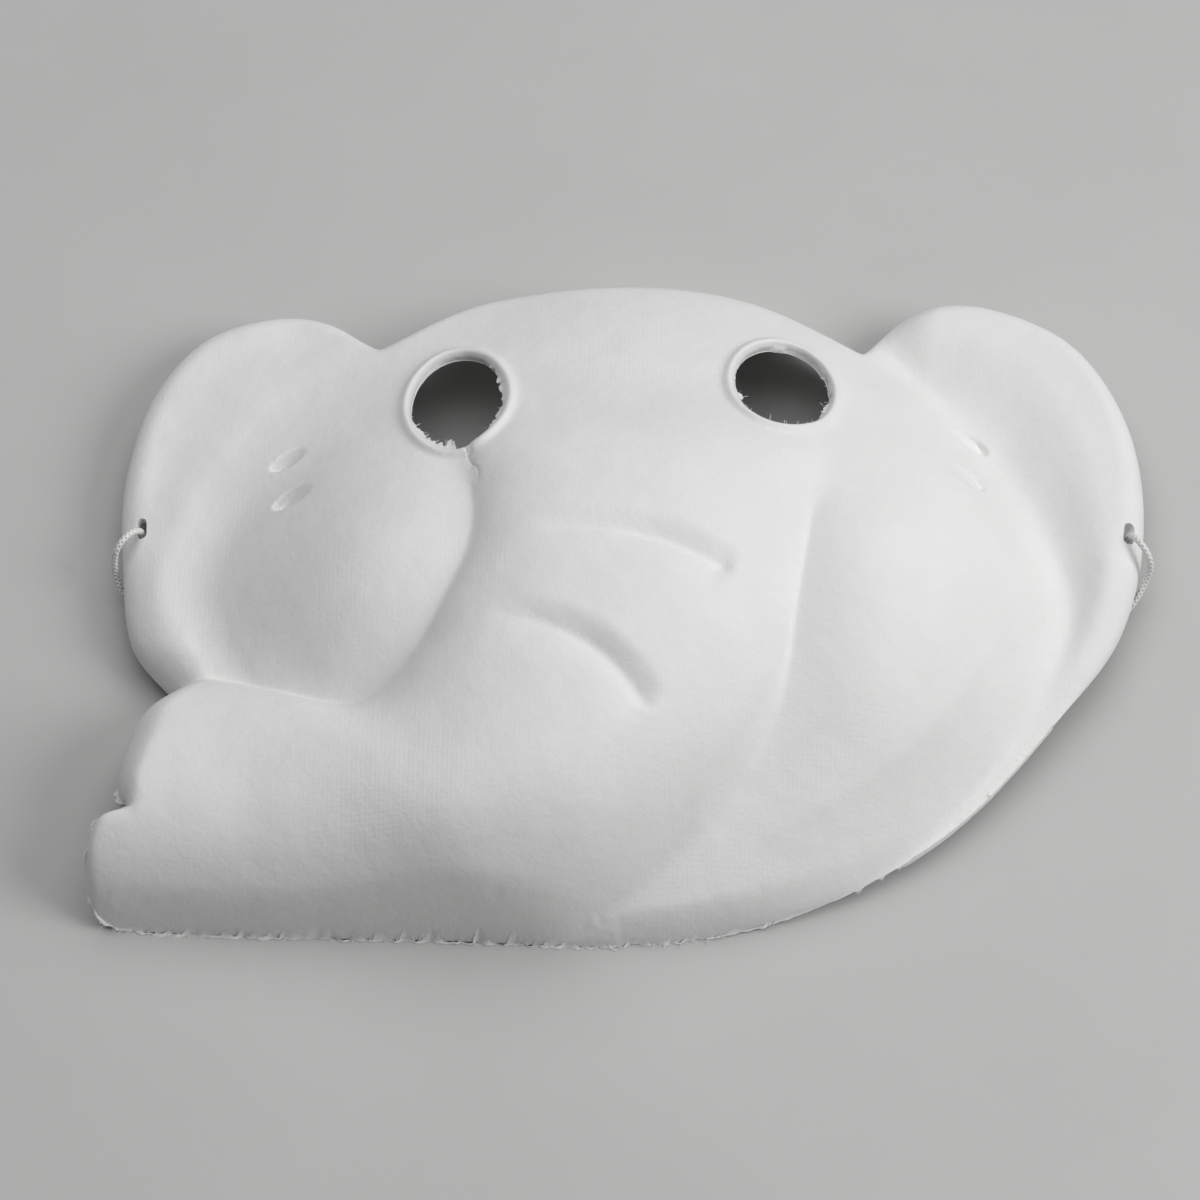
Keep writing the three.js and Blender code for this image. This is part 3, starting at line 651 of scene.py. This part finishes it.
def rim_rows():
    """Plan of each row of points along the rim, from the edge inwards, with the way inwards and the
    reach of the fringe at each point."""
    spots = []
    for i in range(len(RIM)):
        step = np.linalg.norm(RIM[(i + 1) % len(RIM), :2] - RIM[i, :2])
        count = max(2, round(step / RIM_PITCH))
        spots.append(i + np.arange(count) / count)
    edge = rim_at(np.concatenate(spots))[:, :2]
    tangent = np.roll(edge, -1, 0) - np.roll(edge, 1, 0)
    inward = unit(np.stack([tangent[:, 1], -tangent[:, 0]], 1))
    for _ in range(3):
        inward = unit(inward + np.roll(inward, 1, 0) + np.roll(inward, -1, 0))
    run = run_along(edge)
    low_edge = smooth(-edge[:, 1], *LOW_EDGE)
    trunk = low_edge * smooth(-edge[:, 0], *TRUNK_EDGE)
    share = TORN_SHARE["all_round"] + TORN_SHARE["low_edge"] * low_edge
    share = share + TORN_SHARE["trunk"] * trunk
    scraps = np.maximum(ripple(run, SCRAPS["pitch"], SCRAPS["seed"]), 0) ** 3 * SCRAPS["height"]
    closing = smooth(np.minimum(run, run[-1] - run), 0, CLOSING)
    rag = closing * (share * ripples(run, TORN) + trunk * scraps)
    fringe = low_edge * smooth(-edge[:, 0], *FRINGE_EDGE)
    fringe *= FRINGE_REACH["middle"] + ripples(run, FRINGE)
    fringe = np.clip(fringe, FRINGE_REACH["least"], FRINGE_REACH["most"])
    rows = []
    for d in RIM_ROWS:
        reach = d * fringe - rag if d < 0 else d - rag * max(0, 1 - d / TORN_DEEP)
        rows.append(edge + inward * reach[:, None])
    return rows, inward, fringe


def away(degrees, middle):
    return (degrees - middle + 180) % 360 - 180


def eye_edge(eye, turn):
    """How far the torn edge of an eye hole reaches into the hole at each turn, in millimetres."""
    which = 0 if eye[0] < 0 else 1
    seed = EYE_SEEDS[which]
    degrees = np.degrees(turn)
    arc = turn * EYE_RADIUS
    rag = ripples(arc, [(height, pitch, seed + k) for k, (height, pitch) in enumerate(EYE_TORN)])
    flaps = np.zeros(len(turn))
    for middle, half, reach in EYE_FLAPS[which]:
        flaps += reach * np.exp(-np.abs(away(degrees, middle) / half) ** 4)
    rough = smooth(np.abs(away(degrees, EYE_ROUGH["middle"])), EYE_ROUGH["end"], EYE_ROUGH["full"])
    frayed = 1 + FLAP_RIPPLE["height"] * ripple(arc, FLAP_RIPPLE["pitch"], seed + len(EYE_TORN))
    return rag * (EYE_CLEAN + rough) + flaps * frayed


def eye_rows(eye):
    x, y, half_width, half_height, lean = eye
    turn = 2 * np.pi * np.arange(EYE_POINTS) / EYE_POINTS
    torn = eye_edge(eye, turn)
    rows = []
    for d in EYE_ROWS:
        reach = torn * max(0, 1 - d / EYE_DEEP)
        u = (half_width + d - reach) * np.cos(turn)
        v = (half_height + d - reach) * np.sin(turn)
        rows.append(np.stack(turned(u, v, lean, x, y), 1))
    return rows


def eye_out(eye, x, y):
    """Distance outside the edge of an eye hole, near it."""
    ex, ey, half_width, half_height, lean = eye
    u, v = turned(x - ex, y - ey, -lean)
    turn = np.arctan2(v / half_height, u / half_width)
    return np.hypot(u, v) - np.hypot(half_width * np.cos(turn), half_height * np.sin(turn))


def slot_rows(slot):
    x, y, turn = slot
    end = SLOT["width"] / 2
    side = SLOT["length"] / 2 - end
    round_end = np.linspace(0, np.pi, 9)
    rows = []
    for d in SLOT_ROWS:
        top = np.stack([(end + d) * np.cos(round_end), side + (end + d) * np.sin(round_end)], 1)
        u, v = np.vstack([top, -top]).T
        rows.append(np.stack(turned(u, v, turn, x, y), 1))
    return rows


def collar(x, y):
    """Raised collar round each eye hole, turned down into the hole at its torn edge."""
    z = np.zeros(len(x))
    for eye in EYES:
        out = eye_out(eye, x, y)
        off = np.abs((out - COLLAR["at"]) / COLLAR["half"])
        crest = COLLAR["height"] * np.exp(-off ** COLLAR["square"])
        drop = COLLAR["drop"] * smooth(-out, -COLLAR["outer"], -COLLAR["inner"])
        z += np.where(out > COLLAR_ENDS, crest - drop, 0)
    return z


def fine_place(x, y):
    """Where the skin turns sharply: in the temple dents and along the crease beside the trunk."""
    face, trunk = face_and_trunk(x, y, nearest_rim(x, y)[0])
    fine = (np.abs(face - trunk) < 2.2) & (y < 25)
    for cx, cy, _, half_length, _, _ in DENTS:
        fine |= np.hypot(x - cx, y - cy) < 1.4 * half_length
    return fine


def crack_points():
    """Lines of points along the crack and on both sides of it."""
    along = np.gradient(CRACK, axis=0)
    side = unit(np.stack([-along[:, 1], along[:, 0]], 1))
    return np.vstack([CRACK[2:] + off * side[2:] for off in CRACK_NET])


def net_points():
    """Points of the even net, with twice as many to a length where the skin turns sharply."""
    gx = np.arange(-122, 125, NET)
    gy = np.arange(-76, 100, NET * EVEN)
    x, y = np.meshgrid(gx, gy)
    x = (x + (np.arange(len(gy)) % 2)[:, None] * NET / 2).ravel()
    y = y.ravel()
    crack = crack_points()
    keep = nearest_rim(x, y)[0] > RIM_ROWS[-1] + NET_GAP
    for eye in EYES:
        keep &= eye_out(eye, x, y) > EYE_ROWS[-1] + NET_GAP
    for sx, sy, _ in SLOTS:
        across = (x - sx) / (SLOT["width"] / 2 + SLOT_GAP)
        along = (y - sy) / (SLOT["length"] / 2 + SLOT_GAP)
        keep &= np.hypot(across, along) > 1
    for px, py in crack:
        keep &= np.hypot(x - px, y - py) > CRACK_GAP
    fine = fine_place(x, y)
    half = NET / 2
    extra = np.stack([(x[:, None] + half * np.array([0, 1, 0.5])).ravel(),
                      (y[:, None] + half * np.array([0, 0, EVEN])).ravel()], 1)
    extra = np.vstack([extra, extra + np.array([[-half / 2, half * EVEN]])])
    extra = extra[np.repeat(np.tile(fine & keep, 2), 3)]
    net = np.vstack([np.stack([x[keep & ~fine], y[keep & ~fine]], 1), extra, crack])
    _, first = np.unique(np.round(net * 20).astype(int), axis=0, return_index=True)
    return net[np.sort(first)]


def net_faces(made, net, net_loops):
    """Triangles of the net, held by the inmost row of each band."""
    ring = np.concatenate(net_loops)
    flat = np.vstack([made[ring], net])
    known = np.concatenate([ring, len(made) + np.arange(len(net))])
    edges, at = [], 0
    for loop in net_loops:
        count = len(loop)
        edges += [(at + k, at + (k + 1) % count) for k in range(count)]
        at += count
    _, _, faces, origin, _, _ = delaunay_2d_cdt([Vector(p) for p in flat], edges, [], 0, 1e-5, True)
    found = np.array([[origin[v][0] for v in face] for face in faces])
    middle = flat[found].mean(1)
    inner = inside(made[net_loops[0]], middle[:, 0], middle[:, 1])
    for loop in net_loops[1:]:
        inner &= ~inside(made[loop], middle[:, 0], middle[:, 1])
    return known[found[inner]]


def shell_plan():
    """Points and triangles of the outer skin in plan, its open loops (the rim, the eyes and the
    slots), and the way inwards and the fringe's reach along the rim."""
    points, triangles, loops, net_loops = [], [], [], []

    def band(rows):
        start = sum(len(p) for p in points)
        count = len(rows[0])
        points.extend(rows)
        i = np.arange(count)
        j = (i + 1) % count
        for k in range(len(rows) - 1):
            a, b = start + k * count, start + (k + 1) * count
            triangles.append(np.stack([a + i, b + i, a + j], 1))
            triangles.append(np.stack([a + j, b + i, b + j], 1))
        loops.append(start + i)
        net_loops.append(start + (len(rows) - 1) * count + i)

    rows, inward, fringe = rim_rows()
    band(rows)
    for eye in EYES:
        band(eye_rows(eye))
    for slot in SLOTS:
        band(slot_rows(slot))
    made = np.vstack(points)
    net = net_points()
    plan = np.vstack([made, net])
    faces = np.vstack([*triangles, net_faces(made, net, net_loops)])
    ab = plan[faces[:, 1]] - plan[faces[:, 0]]
    ac = plan[faces[:, 2]] - plan[faces[:, 0]]
    flipped = ab[:, 0] * ac[:, 1] - ab[:, 1] * ac[:, 0] < 0
    faces[flipped] = faces[flipped][:, ::-1]
    return plan, faces, loops, inward, fringe


def skin_normals(points, faces):
    a, b, c = points[faces[:, 0]], points[faces[:, 1]], points[faces[:, 2]]
    flat = np.cross(b - a, c - a)
    normals = np.zeros_like(points)
    for k in range(3):
        np.add.at(normals, faces[:, k], flat)
    return normals / np.maximum(np.linalg.norm(normals, axis=1, keepdims=True), 1e-12)


def shell_skins():
    """The front and the back skin, their triangles and their open loops."""
    plan, faces, loops, inward, fringe = shell_plan()
    x, y = plan[:, 0], plan[:, 1]
    form = form_height(x, y) - dent_depth(x, y)
    rim = loops[0]
    lift = nearest_rim(x[rim], y[rim])[1]
    form[rim] = lift
    skin = np.column_stack([x, y, form])
    back = skin - WALL * skin_normals(skin, faces)
    back[rim] = np.column_stack([plan[rim] + WALL * inward, lift])
    for eye, loop in zip(EYES, loops[1:3]):
        back[loop, :2] += EYE_FLARE * unit(plan[loop] - np.array(eye[:2]))
    back[:, 2] = np.maximum(back[:, 2], 0)

    far = np.hypot(x[:, None] - CRACK[:, 0], y[:, None] - CRACK[:, 1]).min(1)
    relief = collar(x, y) - CRACK_DEPTH * np.exp(-(far / CRACK_HALF) ** 2)
    relief += sum(height * lumps(x, y, pitch, seed) for height, pitch, seed in LUMPS)
    settle = smooth(nearest_rim(x, y)[0], *LUMPS_FADE)
    on_rim = np.arange(len(x)) < len(rim) * len(RIM_ROWS)
    front = skin.copy()
    front[:, 2] += relief * np.where(on_rim, settle, 1)
    front[rim, 2] = lift
    front[rim + len(rim), 2] = lift + FRINGE_RISE["least"] + FRINGE_RISE["most"] * fringe
    return front, back, faces, loops


def closed_mesh(name, front, back, faces, loops):
    """Both skins and the walls between their loops, each with its own material."""
    count = len(front)
    walls = []
    for loop in loops:
        a, b = loop, np.roll(loop, -1)
        walls.append(np.column_stack([a, b, b + count, a + count]))
    walls = np.vstack(walls)
    corners = np.concatenate([faces.ravel(), (faces[:, ::-1] + count).ravel(), walls.ravel()])
    sizes = np.concatenate([np.full(2 * len(faces), 3), np.full(len(walls), 4)])
    starts = np.concatenate([[0], np.cumsum(sizes)[:-1]])
    part = np.concatenate([np.zeros(len(faces)), np.ones(len(faces)), np.full(len(walls), 2)])
    mesh = bpy.data.meshes.new(name)
    mesh.vertices.add(2 * count)
    mesh.vertices.foreach_set("co", place(np.vstack([front, back])).ravel())
    mesh.loops.add(len(corners))
    mesh.loops.foreach_set("vertex_index", corners.astype(np.int32))
    mesh.polygons.add(len(sizes))
    mesh.polygons.foreach_set("loop_start", starts.astype(np.int32))
    mesh.polygons.foreach_set("material_index", part.astype(np.int32))
    mesh.update(calc_edges=True)
    mesh.validate()
    return mesh


def mould_shell():
    mesh = closed_mesh("pulp_shell", *shell_skins())
    shell = link("pulp_shell", mesh)
    for finish in PULP:
        mesh.materials.append(pulp_finish(*finish))
    only(shell)
    bpy.ops.object.shade_smooth_by_angle(angle=math.radians(55))
    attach(shell, "root")
    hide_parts("mask_shell")


# Short fibres that stand out from the torn edges: how many along the bottom edge, in the tuft at
# the jaw and at each eye hole, their length, their radius and the share of it at the tip

FIBRES = dict(bottom=58, jaw=7, eye=22, length=(0.4, 1.4), radius=(0.04, 0.075), tip=0.4)
JAW_TUFT = (83.2, -38.2, 7.4)


def fibre_roots(rng):
    """Where fibres stand out: a place on a torn edge, and the way they point."""
    low = RIM_LINE[(RIM_LINE[:, 1] < -66) & (RIM_LINE[:, 0] < 35)]
    roots = []
    for x, y, lift, _ in low[rng.randint(0, len(low), FIBRES["bottom"])]:
        roots.append((np.array([x, y - 0.3, lift + 0.35]), np.array([x * 0.25, -40.0, 4.0])))
    for turn in np.linspace(0, 2 * np.pi, FIBRES["jaw"]):
        way = np.array([30 + 14 * np.cos(turn), -18 + 14 * np.sin(turn), 9.0])
        roots.append((np.array(JAW_TUFT), way))
    for eye in EYES:
        turn = np.radians(rng.uniform(190, 395, FIBRES["eye"]))
        reach = eye_edge(eye, turn)
        x = eye[0] + (eye[2] - reach) * np.cos(turn)
        y = eye[1] + (eye[3] - reach) * np.sin(turn)
        z = form_height(x, y) - 0.9
        for root, t in zip(np.column_stack([x, y, z]), turn):
            roots.append((root, np.array([-np.cos(t), -np.sin(t), 0.25])))
    return roots


def loose_fibres():
    rng = np.random.RandomState(71)
    fibres = []
    for root, way in fibre_roots(rng):
        way = unit(way) + rng.normal(0, 0.4, 3) * (1, 1, 0.4)
        curl = rng.normal(0, 0.7, 3)
        length = rng.uniform(*FIBRES["length"])
        step = np.linspace(-0.15, 1, 6)[:, None] * length
        line = root + unit(way) * step + curl * step ** 2 * 0.25
        line[:, 2] = np.maximum(line[:, 2], 0.12)
        radius = rng.uniform(*FIBRES["radius"])
        fibres.append(thread_tube("fibre", line, radius, 4, FIBRES["tip"]))
    bpy.ops.object.select_all(action="DESELECT")
    for fibre in fibres:
        fibre.select_set(True)
    bpy.context.view_layer.objects.active = fibres[0]
    bpy.ops.object.join()
    tufts = bpy.context.active_object
    tufts.name = "loose_fibres"
    tufts.data.materials.append(bpy.data.materials["pulp_torn_edge"])
    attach(tufts, "root")


# The elastic, laid along the route of its CAD solid

ELASTIC = 1.5
ELASTIC_PITCH = 0.3
ELASTIC_ROUTE = [
    (-107.7, 15.8, 3.4), (-109.3, 20, 6), (-110.6, 23.9, 9.6), (-111.1, 25.3, 12.9),
    (-111.6, 24.6, 15.4), (-113, 23, 17.1), (-114.7, 21, 17.3), (-116.1, 19.4, 15.9),
    (-116.9, 18.4, 13), (-117, 16.8, 8.4), (-115.6, 14, 5), (-112, 11.8, 2.7), (-106.8, 10.6, 1.4),
    (-100, 9.2, 0.85), (-88, 5.6, 0.8), (-70, -1, 0.8), (-48, -8.5, 0.8), (-24, -11, 0.8),
    (0, -6, 0.8), (24, 3, 0.8), (46, 9.5, 0.8), (68, 11.5, 0.8), (88, 10, 0.8), (104.5, 8.2, 0.85),
    (110.5, 7.9, 1.5), (115.2, 9.6, 3.5), (118.9, 12.8, 6), (121.3, 16, 9), (122.4, 18, 12.7),
    (122, 19.2, 15.5), (120.8, 21, 17.2), (119.2, 23.3, 17.4), (117.9, 25.3, 15.7),
    (117.5, 26.1, 12.9), (116.9, 24.9, 9.3), (115.4, 19.3, 6), (113.6, 14, 3.5),
]
# Every so many points of the laid line is taken into a path of the cord, which is worked out but
# not used
PATH_STEP = 4

KNOT = dict(points=26, half=0.42, tall=0.72, strand=0.66, pitch=0.16)


def even_line(points, pitch, closed=False):
    """A smooth line through points, with even steps of about pitch, and its length."""
    points = np.asarray(points, float)
    fine = 60
    if closed:
        points = np.vstack([points[-2:], points, points[:3]])
    chord = np.linalg.norm(np.diff(points, axis=0), axis=1) ** 0.5
    knots = np.concatenate([[0], np.cumsum(chord)])
    ends = np.vstack([2 * points[0] - points[1], points, 2 * points[-1] - points[-2]])
    k = np.concatenate([[2 * knots[0] - knots[1]], knots, [2 * knots[-1] - knots[-2]]])
    line = []
    for i in range(1, len(ends) - 2):
        t = np.linspace(k[i], k[i + 1], fine, endpoint=False)[:, None]
        p0, p1, p2, p3 = ends[i - 1:i + 3]
        t0, t1, t2, t3 = k[i - 1:i + 3]
        a1 = (t1 - t) / (t1 - t0) * p0 + (t - t0) / (t1 - t0) * p1
        a2 = (t2 - t) / (t2 - t1) * p1 + (t - t1) / (t2 - t1) * p2
        a3 = (t3 - t) / (t3 - t2) * p2 + (t - t2) / (t3 - t2) * p3
        b1 = (t2 - t) / (t2 - t0) * a1 + (t - t0) / (t2 - t0) * a2
        b2 = (t3 - t) / (t3 - t1) * a2 + (t - t1) / (t3 - t1) * a3
        line.append((t2 - t) / (t2 - t1) * b1 + (t - t1) / (t2 - t1) * b2)
    line = np.vstack([*line, points[-1:]])
    if closed:
        line = line[2 * fine:-3 * fine]
    run = run_along(line)
    count = max(2, round(run[-1] / pitch))
    even = np.linspace(0, run[-1], count + 1)
    return np.column_stack([np.interp(even, run, line[:, k]) for k in range(3)]), run[-1]


def thread_tube(name, line, radius, sides, tip=1.0):
    """A round thread along a line, with its length in millimetres and its turn as a UV map."""
    tangent = unit(np.gradient(line, axis=0))
    side = np.cross(tangent[0], [0.3, 0.2, 1.0])
    sides_at = []
    for t in tangent:
        side = unit(side - t * side.dot(t))
        sides_at.append(side)
    side = np.array(sides_at)
    other = np.cross(tangent, side)
    turn = 2 * np.pi * np.arange(sides) / sides
    thick = np.full(len(line), radius)
    thick[-1] *= tip
    rings = (line[:, None] + thick[:, None, None] * (np.cos(turn)[None, :, None] * side[:, None]
             + np.sin(turn)[None, :, None] * other[:, None]))
    steps = len(line)
    i, j = np.meshgrid(np.arange(steps - 1), np.arange(sides), indexing="ij")
    i, j = i.ravel(), j.ravel()
    after = (j + 1) % sides
    here, there = i * sides, (i + 1) * sides
    quads = np.column_stack([here + j, here + after, there + after, there + j])
    first_end = list(range(sides))[::-1]
    last_end = [(steps - 1) * sides + k for k in range(sides)]
    faces = quads.tolist() + [first_end, last_end]
    mesh = bpy.data.meshes.new(name)
    mesh.from_pydata(place(rings.reshape(-1, 3)).tolist(), [], faces)
    run = run_along(line)
    uv = mesh.uv_layers.new(name="along")
    u = np.column_stack([run[i], run[i], run[i + 1], run[i + 1]])
    v = np.column_stack([j, j + 1, j + 1, j]) / sides
    coords = np.zeros((len(mesh.loops), 2))
    coords[:len(quads) * 4] = np.stack([u.ravel(), v.ravel()], 1)
    uv.data.foreach_set("uv", coords.ravel())
    thread = link(name, mesh)
    only(thread)
    bpy.ops.object.shade_smooth_by_angle(angle=math.radians(60))
    return thread


def tie_knot(name, centre, lead, finish):
    """A small overhand knot at an end of the elastic, closed on itself."""
    turn = np.linspace(0, 2 * np.pi, KNOT["points"], endpoint=False)
    u = KNOT["half"] * (np.sin(turn) + 2 * np.sin(2 * turn))
    v = KNOT["half"] * (np.cos(turn) - 2 * np.cos(2 * turn))
    loop = np.column_stack([*turned(u, v, lead), -KNOT["tall"] * np.sin(3 * turn)])
    line, _ = even_line(loop + np.array(centre), KNOT["pitch"], closed=True)
    knot = thread_tube(name, line, KNOT["strand"], 12)
    knot.data.materials.append(finish)
    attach(knot, "root")
    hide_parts(name.replace("tied_", ""))
    return knot


def lay_elastic():
    finish = elastic_finish()
    line, length = even_line(ELASTIC_ROUTE, ELASTIC_PITCH)
    cord = thread_tube("elastic_thread", line, ELASTIC / 2, 14)
    cord.data.materials.append(finish)
    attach(cord, "root")
    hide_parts("elastic_cord")
    knots = [
        tie_knot("tied_knot_left", (-107, 13.6, 2.3), 20, finish),
        tie_knot("tied_knot_right", (112.7, 11.7, 2.3), 200, finish),
    ]
    path = line[::PATH_STEP]
    if (len(line) - 1) % PATH_STEP:
        path = np.vstack([path, line[-1:]])
    path = place(path)


set_camera()
set_light()
lay_floor()
lay_elastic()
mould_shell()
loose_fibres()
